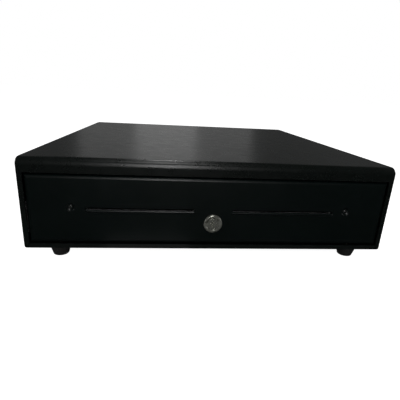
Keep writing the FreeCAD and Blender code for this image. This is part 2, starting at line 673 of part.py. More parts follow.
screws = []
h = ball("front_screw_dome", 3.4, screw_x, d(4.1), screw_z)
h2 = doc.addObject("Part::Common", "front_screw_head")
h2.Base = h
h2.Tool = rod("front_screw_keep", "y", 2.9, (screw_x, screw_z), (d(0), d(2.15)))
h = doc.addObject("Part::Common", "front_screw_seat")
h.Base = h2
h.Tool = ball("front_screw_seat_ball", dimple_R, screw_x, d(dimple_deep) - dimple_R, screw_z)
s = rod("front_screw_shank", "y", 1.5, (screw_x, screw_z), (d(1.8), d(13)))
r = cut("front_screw_r", fuse("front_screw_solid", [h, s]),
        [block("front_screw_slot_a", (screw_x - 1.5, screw_x + 1.5), (d(-1), d(1.7)), (screw_z - 0.35, screw_z + 0.35)),
         block("front_screw_slot_b", (screw_x - 0.35, screw_x + 0.35), (d(-1), d(1.7)), (screw_z - 1.5, screw_z + 1.5))])
final(group("front_screw_set", [r, mirror("front_screw_l", r)]), "front_screws")

# Media guides: bent strips behind the slots that turn slips down and under the till.
b = body("guide")
pad_x(b, "guide_form", [(d(8.5), 70), (d(9.3), 70), (d(9.3), 71.2), (d(26.2), 59.3), (d(26.2), 38), (d(27), 38), (d(27), 59.8),
                        (d(9.9), 71.8), (d(9.3), 72.4), (d(9.3), 78), (d(8.5), 78)], 18, 141)
final(group("guide_set", [b, mirror("guide_l", b)]), "media_guides")

# Till rails: angles spot-welded along both sides of the tray.
b = body("rail")
RX = tray_x - td
pad_y(b, "rail_form", [(RX, FLOOR), (RX, till_zb), (RX - 8, till_zb), (RX - 8, till_zb - 1), (RX - 1, till_zb - 1), (RX - 1, FLOOR)],
      d(50), d(338))
final(group("rail_set", [b, mirror("rail_l", b)]), "till_rails")

# Lock: flanged barrel through the front, hex nut behind the tray wall, turning plug with a cam.
f = rod("lock_flange", "y", lock_fr, (0, lock_z), (d(-lock_face), d(0)))
f = fillets("lock_flange_round", f, [(1.6, lambda c, e: near(c.YMin, d(-lock_face).val) and near(c.YMax, d(-lock_face).val))])
br = rod("lock_sleeve", "y", lock_r, (0, lock_z), (d(-0.2), d(20)))
bore = rod("lock_bore", "y", plug_r + 0.15, (0, lock_z), (d(-4), d(21)))
flare = rod("lock_flare", "y", plug_r + 1.9, (0, lock_z), (d(-lock_face - 0.1), d(-lock_face + 1.5)), plug_r + 0.15)
final(cut("lock_barrel_cut", fuse("lock_barrel_solid", [f, br]), [bore, flare]), "lock_barrel")
hx = doc.addObject("Part::Prism", "lock_nut_hex")
hx.Polygon = 6
hx.Circumradius = 13.8
hx.Height = 4
hx.Placement = P(V(0, 0, 0), AXIS["y"])
bind(hx, "Placement.Base.y", d(TD0 + td))
bind(hx, "Placement.Base.z", lock_z)
final(cut("lock_nut_cut", hx, [rod("lock_nut_bore", "y", lock_r, (0, lock_z), (d(7), d(14)))]), "lock_nut")
p = rod("plug_rod", "y", plug_r, (0, lock_z), (d(-1.5), d(20.6)))
p = fillets("plug_round", p, [(0.5, lambda c, e: near(c.YMin, d(-1.5).val) and near(c.YMax, d(-1.5).val))])
key = [block("key_slot", (-0.9, 0.9), (d(-3), d(8)), (lock_z - 3.6, lock_z + 3.6)),
       block("key_ward", (-1.7, 0.2), (d(-3), d(8)), (lock_z - 1.2, lock_z + 0.6)),
       rod("key_dish", "y", 3.1, (0, lock_z), (d(-1.6), d(-0.9)), 2.3)]
final(cut("plug_cut", p, key), "lock_plug")
b = body("cam")
pad_y(b, "cam_plate", [(-6, lock_z - 5), (cam_len, lock_z - 5), (cam_len, lock_z + 5), (-6, lock_z + 5)], d(20.6), d(22.6))
soften(b, "cam_round", 3, lambda c, e: along(c, "y", 0.01))
cut_y(b, "cam_hole", [(0, lock_z, 1.6)], d(20), d(23))
final(b, "lock_cam")
h = rod("cam_screw_head", "y", 3.4, (0, lock_z), (d(22.6), d(24.4)))
s = rod("cam_screw_shank", "y", 1.5, (0, lock_z), (d(20.6), d(22.8)))
final(fuse("cam_screw_solid", [h, s]), "cam_screw")

# Striker: bracket and pin on the back wall of the tray.
b = body("striker")
pad_z(b, "striker_cheek", rect(5, 6.5, d(tray_d1), d(pin_d + 4)), pin_z - 7, pin_z + 6)
pad_z(b, "striker_foot", rect(5, 15, d(tray_d1), d(tray_d1 + 1.5)), pin_z - 7, pin_z + 6)
cut_x(b, "striker_hole", [(d(pin_d), pin_z, 2.5)], 4, 8)
final(group("striker_set", [b, mirror("striker_l", b)]), "striker_bracket")
final(rod("striker_rod", "x", 2.5, (d(pin_d), pin_z), (-8, 8)), "striker_pin")

# ================================================================ till
b = body("till")
pad_z(b, "till_block", rect(-till_x, till_x, d(till_d0), d(till_d1)), till_zb, till_z1)
soften(b, "till_corners", 4, lambda c, e: along(c, "z"))
cut_z(b, "till_notes", [rect(-(till_x - till_t), till_x - till_t, d(till_mid + till_t), d(till_d1 - till_t))],
      till_zb + till_t, till_z1 + 1)
cut_z(b, "till_coins", [rect(-(till_x - till_t), till_x - till_t, d(till_d0 + till_t), d(till_mid))], till_zc, till_z1 + 1)
sk = sketch(b, "till_under_sketch", "XY_Plane", till_zb)
poly(sk, rect(-(till_x - till_t), till_x - till_t, d(till_d0 - 1), d(till_mid)))
pocket(b, sk, "till_under", till_zc - till_t - till_zb, reverse=True)
cut_x(b, "till_rod_holes", [(d(clip_d), clip_z, 2.5)], -(till_x + 1), till_x + 1)
soften(b, "till_rims", 0.4, lambda c, e: near(c.ZMin, till_z1.val))
final(b, "till_insert")

b = body("divider")
pad_x(b, "divider_plate", rect(d(till_mid + till_t), d(till_d1 - till_t), till_zb + till_t, 80), pitch / 2 - 0.9, pitch / 2 + 0.9)
soften(b, "divider_round", 8, lambda c, e: along(c, "x") and near(c.ZMin, 80))
b2 = body("divider_b")
pad_x(b2, "divider_plate_b", rect(d(till_mid + till_t), d(till_d1 - till_t), till_zb + till_t, 80), pitch * 1.5 - 0.9, pitch * 1.5 + 0.9)
soften(b2, "divider_round_b", 8, lambda c, e: along(c, "x") and near(c.ZMin, 80))
g = group("dividers_r", [b, b2])
final(group("divider_set", [g, mirror("dividers_l", g)]), "note_dividers")
final(rod("clip_shaft", "x", 2.5, (d(clip_d), clip_z), (-(till_x - 0.4), till_x - 0.4)), "clip_rod")

# Note clips: a sleeve on the rod, a sloping arm and a rolled toe near the till floor.
ARM_Y, ARM_Z = -60, -43
for n in range(5):
    cx = pitch * (n - 2)
    b = body("clip_%d" % (n + 1))
    L = math.hypot(ARM_Y, ARM_Z)
    pts = [(d(clip_d) + ARM_Y * 0.05 + 0.6, clip_z + ARM_Z * 0.05 - 0.9), (d(clip_d) + ARM_Y + 0.6, clip_z + ARM_Z - 0.9),
           (d(clip_d) + ARM_Y - 0.6, clip_z + ARM_Z + 0.9), (d(clip_d) + ARM_Y * 0.05 - 0.6, clip_z + ARM_Z * 0.05 + 0.9)]
    pad_x(b, "clip_arm_%d" % (n + 1), pts, cx - 9, cx + 9)
    hub = rod("clip_hub_%d" % (n + 1), "x", 4.3, (d(clip_d), clip_z), (cx - 22, cx + 22))
    toe = rod("clip_toe_%d" % (n + 1), "x", 2.6, (d(clip_d) + ARM_Y, clip_z + ARM_Z), (cx - 20, cx + 20))
    bore = rod("clip_bore_%d" % (n + 1), "x", 2.62, (d(clip_d), clip_z), (cx - 23, cx + 23))
    final(cut("clip_cut_%d" % (n + 1), fuse("clip_solid_%d" % (n + 1), [b, hub, toe]), [bore]), "note_clip_%d" % (n + 1))

# Coin tray: five scooped cups, thin walled and open underneath.
CT0, CT1 = till_d0 + till_t + 0.8, till_mid - 0.8
CX = till_x - till_t - 0.8
CTZ1 = till_z1 - 1
o = block("coin_outer", (-CX, CX), (d(CT0), d(CT1)), (till_zc, CTZ1))
o = fillets("coin_outer_round", o, [(3, lambda c, e: along(c, "z"))])
MIDD = (CT0 + CT1) / 2
SZ = till_zc + 2.4 + scoop_r
tools = []
for n in range(5):
    cx = pitch * (n - 2)
    half = 35 if n in (1, 2, 3) else 34.6
    bx = block("cup_box_%d" % (n + 1), (cx - half, cx + half), (d(CT0 + 2), d(CT1 - 2)), (till_zc + 1, CTZ1 + 2))
    cy = rod("cup_round_%d" % (n + 1), "x", scoop_r, (d(MIDD), SZ), (cx - half, cx + half))
    k = doc.addObject("Part::Common", "cup_%d" % (n + 1))
    k.Base, k.Tool = bx, cy
    k = fillets("cup_soft_%d" % (n + 1), k, [(2.5, lambda c, e: not near(c.ZMin, (CTZ1 + 2).val))])
    tools.append(k)
under = cut("coin_under", block("coin_under_box", (-(CX - 2), CX - 2), (d(CT0 + 2), d(CT1 - 2)), (till_zc - 1, till_zc + 30)),
            [rod("coin_under_round", "x", scoop_r + 2, (d(MIDD), SZ), (-CX, CX))])
o = cut("coin_tray_cut", o, tools + [under])
final(fillets("coin_rims", o, [(0.6, lambda c, e: near(c.ZMin, CTZ1.val))]), "coin_tray")

# ================================================================ rear mechanism
# Rear brackets: two folded strips on the pan carrying buffers, ejector springs and the open sensor.
b = body("cross")
pad_x(b, "cross_form", [(d(cross_d), PAN), (d(cross_d + 14), PAN), (d(cross_d + 14), PAN + ts), (d(cross_d + ts), PAN + ts),
                        (d(cross_d + ts), 66), (d(cross_d), 66)], -176, 176)
cut_y(b, "cross_window", [rect(-31, 31, PAN + ts, 67)], d(cross_d - 1), d(cross_d + ts + 1))
cut_z(b, "cross_floor_window", [rect(-19, 19, d(cross_d - 1), d(cross_d + 15))], PAN - 1, PAN + ts + 1)
cut_z(b, "cross_holes", [(x, d(379.5), 1.6) for x in (-168, -40, 40, 168)], PAN - 1, PAN + ts + 1)
final(b, "rear_brackets")
screws = []
for n, x in enumerate((40, 168)):
    h = rod("cross_screw_head_%d" % n, "z", 3, (x, d(379.5)), (PAN + ts, PAN + ts + 1.8))
    s = rod("cross_screw_shank_%d" % n, "z", 1.5, (x, d(379.5)), (Z0 + ts, PAN + ts + 0.2))
    r = fuse("cross_screw_r%d" % n, [h, s])
    screws += [r, mirror("cross_screw_l%d" % n, r)]
final(group("cross_screw_set", screws), "bracket_screws")
a = rod("buffer_stem", "y", 6.5, (buffer_x, 48), (d(350), d(cross_d)))
a = fillets("buffer_round", a, [(2, lambda c, e: near(c.YMax, d(350).val))])
final(group("buffer_set", [a, mirror("buffer_l", a)]), "stop_buffers")
a = rod("guide_pin", "y", 3.2, (eject_x, 48), (d(354), d(cross_d)))
final(group("guide_pin_set", [a, mirror("guide_pin_l", a)]), "spring_guides")
a = coil("eject_coil", 5, 0.7, 3, 22, "y", (eject_x, d(348.9), 48))
final(group("eject_set", [a, mirror("eject_coil_l", a)]), "ejector_springs")

# Latch: bracket with two cheeks, pivot pin, hooked lever; drawn with the solenoid pulled in (released).
b = body("latch_br")
pad_x(b, "latch_br_base", rect(d(latch_d - 9), d(latch_d + 8), PAN, PAN + 1.5), -17, 17)
for side, n in ((-1, "l"), (1, "r")):
    a0, a1 = (6, 7.5) if side > 0 else (-7.5, -6)
    pad_x(b, "latch_br_cheek_" + n, rect(d(latch_d - 7), d(latch_d + 7), PAN + 0.5, latch_z + 7), a0, a1)
cut_x(b, "latch_br_holes", [(d(latch_d), latch_z, 2.5)], -9, 9)
final(b, "latch_bracket")
final(rod("latch_shaft", "x", 2.5, (d(latch_d), latch_z), (-9.5, 9.5)), "latch_pivot_pin")
b = body("latch")
pad_x(b, "latch_hook", [(0, 4.5), (-24, 4), (-24, -9), (-21.5, -11.5), (-19.4, -11.5), (-19.4, -4), (0, -5)], -1.5, 1.5)
ta = math.radians(10)
tail = [(0, -5), (sol_arm + 4, -3.4), (sol_arm + 4, 3.4), (0, 5)]
tail = [(num(y) * math.cos(ta) - z * math.sin(ta), num(y) * math.sin(ta) + z * math.cos(ta)) for y, z in tail]
pad_x(b, "latch_tail", tail, -1.5, 1.5)
hub = rod("latch_hub", "x", 5, (0, 0), (-5.6, 5.6))
bore = rod("latch_bore", "x", 2.6, (0, 0), (-7, 7))
s1 = block("latch_slot", (-3, 3), (sol_arm - 1.9, sol_arm + 2.3), (-1.9, 1.9))
s1.setExpression("Placement.Base.x", None)
s1.setExpression("Placement.Base.y", None)
s1.setExpression("Placement.Base.z", None)
sv = V(-3, num(sol_arm) - 1.9, -1.9)
s1.Placement = P(R(V(1, 0, 0), 10).multVec(sv), R(V(1, 0, 0), 10))
lever = cut("latch_lever_cut", fuse("latch_lever_solid", [b, hub]), [bore, s1])
RELEASE = 20
lever.Placement = P(V(0, d(latch_d).val, latch_z.val), R(V(1, 0, 0), -RELEASE))
bind(lever, "Placement.Base.y", d(latch_d))
bind(lever, "Placement.Base.z", latch_z)
final(lever, "latch_lever")

SD = latch_d + sol_arm
PZ = latch_z.val - num(sol_arm) * math.sin(ta)
fr = block("sol_block", (-14, 14), (d(SD - 12), d(SD + 12)), (PAN, PAN + 32))
fr = cut("sol_frame_cut", fr, [block("sol_window", (-15, 15), (d(SD - 10.5), d(SD + 10.5)), (PAN + 1.5, PAN + 30.5)),
                               rod("sol_hole", "z", 5.4, (0, d(SD)), (PAN + 20, PAN + 33))])
final(fr, "solenoid_frame")
co = rod("sol_winding", "z", 10.3, (0, d(SD)), (PAN + 1.5, PAN + 30.5))
final(cut("sol_coil_cut", co, [rod("sol_bore", "z", 5.4, (0, d(SD)), (PAN + 1.5 + 2, PAN + 33))]), "solenoid_coil")
pl = rod("plunger_rod", "z", 5, (0, d(SD)), (PAN + 5, PZ + 5))
pl = cut("plunger_cut", pl, [block("plunger_fork", (-2.1, 2.1), (d(SD - 6), d(SD + 6)), (PZ - 7, PZ + 6)),
                             rod("plunger_pin_hole", "x", 1.5, (d(SD), PZ), (-6, 6))])
final(pl, "solenoid_plunger")
final(rod("plunger_cross_pin", "x", 1.5, (d(SD), PZ), (-4.6, 4.6)), "plunger_pin")
CLIPZ = PAN + 36
final(cut("plunger_clip_cut", rod("plunger_clip_disc", "z", 7.4, (0, d(SD)), (CLIPZ, CLIPZ + 0.8)),
          [rod("plunger_clip_bore", "z", 5, (0, d(SD)), (CLIPZ - 1, CLIPZ + 2))]), "plunger_clip")
final(coil("plunger_coil", 6.5, 0.55, 1.28, 2.88, "z", (0, d(SD), PAN + 32.56)), "plunger_spring")
final(rod("loom", "x", 1.6, (d(SD + 1.2), 30), (10.31, jack_x - 20)), "wire_loom")

# Open sensor: small switch whose lever the back of the tray presses.
sw = block("switch_case", (switch_x - 3.2, switch_x + 3.2), (d(353), d(363)), (34, 54))
sb = block("switch_ears", (switch_x - 1.5, switch_x + 1.5), (d(363), d(cross_d)), (36, 52))
bh = rod("switch_button_hole", "y", 1.25, (switch_x, 48), (d(352), d(358)))
final(cut("switch_case_cut", fuse("switch_solid", [sw, sb]), [bh]), "open_sensor")
final(rod("switch_button_pin", "y", 0.95, (switch_x, 48), (d(350.5), d(356.4))), "sensor_button")
b = body("sw_lever")
pad_x(b, "sw_lever_form", [(d(349.3), 36), (d(350.2), 36), (d(350.2), 57), (d(349.3), 57)], switch_x - 2.2, switch_x + 2.2)
hub = rod("sw_hub", "x", 1.5, (d(350.4), 36), (switch_x - 2.2, switch_x + 2.2))
final(cut("sw_lever_cut", fuse("sw_lever_solid", [b, hub]), [rod("sw_bore", "x", 0.75, (d(350.4), 36), (switch_x - 4, switch_x + 4))]),
      "sensor_lever")
ax = rod("sw_axle", "x", 0.65, (d(350.4), 36), (switch_x - 3.2, switch_x + 3.2))
e1 = block("sw_lug_r", (switch_x + 2.5, switch_x + 3.2), (d(349.6), d(353)), (34.2, 37.6))
e2 = block("sw_lug_l", (switch_x - 3.2, switch_x - 2.5), (d(349.6), d(353)), (34.2, 37.6))
final(fuse("sw_bracket", [ax, e1, e2]), "sensor_hinge")

# Interface socket on a small board behind the rear panel.
jb = block("jack_body", (jack_x - 7, jack_x + 7), (d(D1 - 15), d(D1)), (jack_z - 6.5, jack_z + 6.5))
jc = [block("jack_bore", (jack_x - 5, jack_x + 5), (d(D1 - 12), d(D1 + 1)), (jack_z - 4.2, jack_z + 2.8)),
      block("jack_key", (jack_x - 2, jack_x + 2), (d(D1 - 12), d(D1 + 1)), (jack_z + 2.5, jack_z + 4.8))]
final(cut("jack_cut", jb, jc), "interface_socket")
final(block("jack_board", (jack_x - 20, jack_x + 20), (d(D1 - 16.6), d(D1 - 15)), (jack_z - 24, jack_z + 12)), "interface_board")
h = block("board_post", (jack_x - 12, jack_x + 12), (d(D1 - 16.6 - 1.5), d(D1 - 16.6)), (PAN, jack_z - 14))
h2 = block("board_foot", (jack_x - 12, jack_x + 12), (d(D1 - 28), d(D1 - 16.6)), (PAN, PAN + 1.2))
final(fuse("board_bracket_solid", [h, h2]), "board_bracket")

# ================================================================ checks and files
doc.recompute()
bad = [q.Name for q in doc.Objects if any(s in ("Invalid", "Error") for s in q.State)]
if bad:
    sys.exit("failed objects: " + ", ".join(bad))
labels = [q.Label for q in finals]
if len(set(labels)) != len(labels) or len(labels) > 60:
    sys.exit("labels repeat or are too many")
os.makedirs(OUT, exist_ok=True)
for old in os.listdir(OUT):
    if old.endswith(".step") and old[:-5] not in labels:
        os.remove(os.path.join(OUT, old))
for q in finals:
    s = q.Shape
    if s.isNull() or not s.isValid():
        sys.exit("%s has no valid shape" % q.Label)
    if not s.Solids:
        sys.exit("%s has no solid" % q.Label)
    s.exportStep(os.path.join(OUT, q.Label + ".step"))
    bb = s.BoundBox
    print("%-22s %3d solid(s) %10.0f mm3  x %.1f..%.1f  y %.1f..%.1f  z %.1f..%.1f" % (
        q.Label, len(s.Solids), s.Volume, bb.XMin, bb.XMax, bb.YMin, bb.YMax, bb.ZMin, bb.ZMax))
print(len(finals), "nodes")
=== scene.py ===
import math

import bpy
from mathutils import Matrix, Vector

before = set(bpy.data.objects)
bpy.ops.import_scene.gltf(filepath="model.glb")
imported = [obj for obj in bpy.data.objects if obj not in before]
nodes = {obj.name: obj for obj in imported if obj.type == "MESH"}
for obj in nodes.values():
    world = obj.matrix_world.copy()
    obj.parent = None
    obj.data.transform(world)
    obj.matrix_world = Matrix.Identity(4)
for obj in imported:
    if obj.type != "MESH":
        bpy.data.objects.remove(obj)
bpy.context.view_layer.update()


# ---------------------------------------------------------------- node helpers
def new_mat(name):
    m = bpy.data.materials.new(name)
    m.use_nodes = True
    nt = m.node_tree
    nt.nodes.clear()
    out = nt.nodes.new("ShaderNodeOutputMaterial")
    bsdf = nt.nodes.new("ShaderNodeBsdfPrincipled")
    nt.links.new(bsdf.outputs["BSDF"], out.inputs["Surface"])
    return m, nt, bsdf


def coords(nt, stretch=(1, 1, 1)):
    tc = nt.nodes.new("ShaderNodeTexCoord")
    mp = nt.nodes.new("ShaderNodeMapping")
    mp.inputs["Scale"].default_value = stretch
    nt.links.new(tc.outputs["Object"], mp.inputs["Vector"])
    return mp.outputs["Vector"]


def noise(nt, vec, scale, detail=3.0, rough=0.55, distort=0.0):
    n = nt.nodes.new("ShaderNodeTexNoise")
    n.inputs["Scale"].default_value = scale
    n.inputs["Detail"].default_value = detail
    n.inputs["Roughness"].default_value = rough
    n.inputs["Distortion"].default_value = distort
    nt.links.new(vec, n.inputs["Vector"])
    return n.outputs["Fac"]


def remap(nt, val, lo, hi, a, b):
    r = nt.nodes.new("ShaderNodeMapRange")
    r.clamp = True
    r.inputs["From Min"].default_value = lo
    r.inputs["From Max"].default_value = hi
    r.inputs["To Min"].default_value = a
    r.inputs["To Max"].default_value = b
    nt.links.new(val, r.inputs["Value"])
    return r.outputs["Result"]


def math_node(nt, op, a, b=None):
    n = nt.nodes.new("ShaderNodeMath")
    n.operation = op
    for i, v in enumerate((a, b)):
        if v is None:
            continue
        if isinstance(v, (int, float)):
            n.inputs[i].default_value = v
        else:
            nt.links.new(v, n.inputs[i])
    return n.outputs[0]


def mix_col(nt, fac, a, b):
    n = nt.nodes.new("ShaderNodeMix")
    n.data_type = "RGBA"
    if isinstance(fac, (int, float)):
        n.inputs["Factor"].default_value = fac
    else:
        nt.links.new(fac, n.inputs["Factor"])
    for key, v in (("A", a), ("B", b)):
        sock = [s for s in n.inputs if s.name == key and s.type == "RGBA"][0]
        if isinstance(v, tuple):
            sock.default_value = v + (1.0,) if len(v) == 3 else v
        else:
            nt.links.new(v, sock)
    return [s for s in n.outputs if s.type == "RGBA"][0]


def bump(nt, height, strength, dist, prev=None):
    n = nt.nodes.new("ShaderNodeBump")
    n.inputs["Strength"].default_value = strength
    n.inputs["Distance"].default_value = dist
    nt.links.new(height, n.inputs["Height"])
    if prev is not None:
        nt.links.new(prev, n.inputs["Normal"])
    return n.outputs["Normal"]


def edge_mask(nt, radius, lo=0.03, hi=0.25):
    """1 on sharp or tightly bent edges, 0 on flats."""
    bv = nt.nodes.new("ShaderNodeBevel")
    bv.samples = 4
    bv.inputs["Radius"].default_value = radius
    geo = nt.nodes.new("ShaderNodeNewGeometry")
    dot = nt.nodes.new("ShaderNodeVectorMath")
    dot.operation = "DOT_PRODUCT"
    nt.links.new(bv.outputs["Normal"], dot.inputs[0])
    nt.links.new(geo.outputs["Normal"], dot.inputs[1])
    inv = math_node(nt, "SUBTRACT", 1.0, dot.outputs["Value"])
    return remap(nt, inv, lo, hi, 0.0, 1.0)


def powder_coat(name, dark, light, rough, grain=1500.0, grain_depth=0.00006, wear=0.5, spec=0.5, peel=0.1):
    """Baked powder coat: fine texture, slow orange peel, faint dust in the flats and rubbed edges."""
    m, nt, b = new_mat(name)
    v = coords(nt)
    cloud = noise(nt, v, 26.0, 4.0, 0.6)
    speck = noise(nt, v, 900.0, 2.0, 0.6)
    t = math_node(nt, "MULTIPLY", remap(nt, cloud, 0.35, 0.7, 0.0, 1.0), 0.6)
    t = math_node(nt, "ADD", t, math_node(nt, "MULTIPLY", remap(nt, speck, 0.45, 0.75, 0.0, 1.0), 0.4))
    base = mix_col(nt, t, dark, light)
    em = edge_mask(nt, 0.0012)
    worn = noise(nt, v, 140.0, 4.0, 0.65)
    em = math_node(nt, "MULTIPLY", em, remap(nt, worn, 0.48, 0.72, 0.0, wear))
    base = mix_col(nt, em, base, (0.09, 0.093, 0.095))
    nt.links.new(base, b.inputs["Base Color"])
    r = remap(nt, noise(nt, v, 60.0, 5.0, 0.65), 0.3, 0.7, rough - 0.025, rough + 0.03)
    nt.links.new(r, b.inputs["Roughness"])
    b.inputs["Specular IOR Level"].default_value = spec
    n1 = bump(nt, noise(nt, v, grain, 2.0, 0.5), 0.15, grain_depth)
    n2 = bump(nt, noise(nt, v, 260.0, 2.0, 0.5), peel, 0.0001, n1)
    nt.links.new(n2, b.inputs["Normal"])
    return m


def plated(name, dark, light, rough, stretch=(1, 1, 1), scale=300.0, depth=0.00002, metal=1.0, spots=0.0, wear=0.0):
    """Plated or bare steel with a rolling or brushing direction."""
    m, nt, b = new_mat(name)
    v = coords(nt, stretch)
    v0 = coords(nt)
    streak = noise(nt, v, scale, 4.0, 0.6)
    cloud = noise(nt, v0, 40.0, 4.0, 0.6)
    t = math_node(nt, "ADD", math_node(nt, "MULTIPLY", remap(nt, streak, 0.3, 0.7, 0, 1), 0.55),
                  math_node(nt, "MULTIPLY", remap(nt, cloud, 0.3, 0.7, 0, 1), 0.45))
    base = mix_col(nt, t, dark, light)
    if spots:
        cell = nt.nodes.new("ShaderNodeTexVoronoi")
        cell.inputs["Scale"].default_value = 160.0
        nt.links.new(v0, cell.inputs["Vector"])
        base = mix_col(nt, math_node(nt, "MULTIPLY", cell.outputs["Color"], spots), base, light)
    if wear:
        em = math_node(nt, "MULTIPLY", edge_mask(nt, 0.0006), wear)
        base = mix_col(nt, em, base, tuple(min(1.0, c * 1.25) for c in light))
    nt.links.new(base, b.inputs["Base Color"])
    b.inputs["Metallic"].default_value = metal
    nt.links.new(remap(nt, math_node(nt, "ADD", math_node(nt, "MULTIPLY", streak, 0.6), math_node(nt, "MULTIPLY", cloud, 0.4)),
                       0.3, 0.7, rough - 0.07, rough + 0.09), b.inputs["Roughness"])
    nt.links.new(bump(nt, streak, 0.35, depth), b.inputs["Normal"])
    return m


def moulded(name, dark, light, rough, grain=700.0, depth=0.00012, spec=0.45, rub=0.25):
    """Spark-textured plastic, slightly polished where hands and coins rub."""
    m, nt, b = new_mat(name)
    v = coords(nt)
    g = noise(nt, v, grain, 3.0, 0.6)
    cloud = noise(nt, v, 35.0, 4.0, 0.6)
    base = mix_col(nt, remap(nt, cloud, 0.3, 0.7, 0, 1), dark, light)
    em = math_node(nt, "MULTIPLY", edge_mask(nt, 0.001), rub)
    base = mix_col(nt, em, base, tuple(c * 2.2 + 0.01 for c in light))
    nt.links.new(base, b.inputs["Base Color"])
    nt.links.new(remap(nt, noise(nt, v, 90.0, 4.0, 0.6), 0.3, 0.7, rough - 0.08, rough + 0.08), b.inputs["Roughness"])
    b.inputs["Specular IOR Level"].default_value = spec
    nt.links.new(bump(nt, g, 0.5, depth), b.inputs["Normal"])
    return m


# ---------------------------------------------------------------- materials
M = {}
M["cover"] = powder_coat("cover_powder_coat", (0.0026, 0.0044, 0.0037), (0.0042, 0.0064, 0.0054), 0.28, wear=0.3)
M["pan"] = powder_coat("pan_powder_coat", (0.0032, 0.0054, 0.0046), (0.0052, 0.008, 0.007), 0.33, wear=0.4)
M["guide"] = powder_coat("guide_black_coat", (0.003, 0.003, 0.003), (0.005, 0.005, 0.005), 0.5, wear=0.2)
# Front screw paint: the panel's black enamel, lightened well above the panel's colour and strongly rubbed at the edges
# as a painted highlight, the lit dot on each fixing.
M["screw_paint_and_highlight"] = powder_coat("screw_enamel_and_painted_highlight", (0.011, 0.0125, 0.012), (0.017, 0.019, 0.0185), 0.3, wear=0.9)
# Drawer front paint: the same black coat as the cover, set darker and more blue-green than the cover coat as painted
# shade and a painted tint of the light on the front face.
M["front"] = powder_coat("front_powder_coat_painted_shade", (0.0013, 0.0040, 0.0036), (0.0022, 0.0056, 0.0052), 0.33, grain=1100.0,
                         grain_depth=0.00003, wear=0.35, spec=0.36, peel=0.08)
M["zinc"] = plated("zinc_sheet", (0.42, 0.43, 0.44), (0.62, 0.63, 0.64), 0.36, (1, 12, 12), 220.0, metal=0.7, spots=0.25, wear=0.4)
M["slide"] = plated("slide_zinc", (0.5, 0.5, 0.51), (0.7, 0.7, 0.71), 0.28, (14, 1, 14), 260.0, metal=0.75, wear=0.3)
M["cage"] = plated("cage_steel", (0.44, 0.44, 0.45), (0.6, 0.6, 0.61), 0.33, (10, 1, 10), 300.0)
M["ball"] = plated("ball_chrome", (0.6, 0.6, 0.61), (0.75, 0.75, 0.76), 0.12, (1, 1, 1), 900.0, depth=0.000002)
M["rivet"] = plated("rivet_steel", (0.5, 0.5, 0.51), (0.68, 0.68, 0.69), 0.3, (1, 1, 1), 700.0)
M["screw_black"] = plated("screw_black_zinc", (0.02, 0.021, 0.022), (0.05, 0.052, 0.055), 0.34, (1, 1, 1), 900.0, wear=0.8)
M["screw_zinc"] = plated("screw_zinc", (0.46, 0.46, 0.43), (0.64, 0.64, 0.6), 0.32, (1, 1, 1), 800.0, wear=0.3)
M["nickel"] = plated("lock_nickel", (0.27, 0.28, 0.24), (0.56, 0.56, 0.51), 0.28, (1, 1, 1), 180.0, metal=0.8, wear=0.5)
M["cam"] = plated("cam_steel", (0.45, 0.45, 0.46), (0.62, 0.62, 0.63), 0.36, (1, 1, 10), 300.0, wear=0.4)
M["spring"] = plated("spring_wire", (0.32, 0.32, 0.33), (0.5, 0.5, 0.51), 0.25, (1, 1, 1), 600.0)
M["rubber"] = moulded("foot_rubber", (0.012, 0.012, 0.012), (0.024, 0.024, 0.023), 0.72, 1500.0, 0.00008, 0.3, 0.5)
M["till"] = moulded("till_abs", (0.030, 0.031, 0.033), (0.046, 0.047, 0.050), 0.42, 1300.0, 0.00008)
M["clip"] = moulded("clip_acetal", (0.05, 0.05, 0.052), (0.075, 0.075, 0.078), 0.34, 1800.0, 0.00004)
M["rod"] = plated("rod_steel", (0.55, 0.55, 0.56), (0.7, 0.7, 0.71), 0.2, (0.2, 20, 20), 300.0)
M["coil"] = moulded("coil_wrap", (0.2, 0.07, 0.012), (0.34, 0.13, 0.03), 0.4, 900.0, 0.0001)
M["switch"] = moulded("switch_case", (0.02, 0.02, 0.022), (0.035, 0.035, 0.038), 0.42)
M["button"] = moulded("switch_button", (0.35, 0.03, 0.02), (0.5, 0.05, 0.03), 0.4)
M["board"] = moulded("board_laminate", (0.012, 0.09, 0.03), (0.02, 0.14, 0.045), 0.35, 900.0, 0.00003)
M["loom"] = moulded("loom_sleeve", (0.012, 0.012, 0.013), (0.024, 0.024, 0.025), 0.5, 900.0, 0.00005)

USE = {
    "cover": ["top_cover"], "pan": ["base_pan", "rear_panel"], "front": ["drawer_front"],
    "guide": ["media_guides"], "zinc": ["drawer_tray", "till_rails", "rear_brackets", "latch_bracket", "striker_bracket", "board_bracket"],
    "slide": ["cabinet_slide_left", "cabinet_slide_right", "drawer_slide_left", "drawer_slide_right"],
    "cage": ["ball_cages"], "ball": ["slide_balls"], "rivet": ["slide_rivets", "tray_rivets"],
    "screw_paint_and_highlight": ["front_screws"], "screw_black": ["cover_screws", "rear_panel_screws"],
    "screw_zinc": ["foot_screws", "bracket_screws", "cam_screw"],
    "nickel": ["lock_barrel", "lock_plug", "lock_nut"],
    "cam": ["lock_cam", "latch_lever", "striker_pin", "latch_pivot_pin", "spring_guides", "solenoid_frame", "plunger_pin",
            "plunger_clip", "solenoid_plunger"],
    "spring": ["ejector_springs", "plunger_spring", "sensor_lever", "sensor_hinge"],
    "rubber": ["rubber_feet", "stop_buffers"],
    "till": ["till_insert", "note_dividers", "coin_tray"],
    "clip": ["note_clip_%d" % n for n in range(1, 6)],
    "rod": ["clip_rod"], "coil": ["solenoid_coil"], "switch": ["open_sensor", "interface_socket"],
    "button": ["sensor_button"], "board": ["interface_board"], "loom": ["wire_loom"],
}
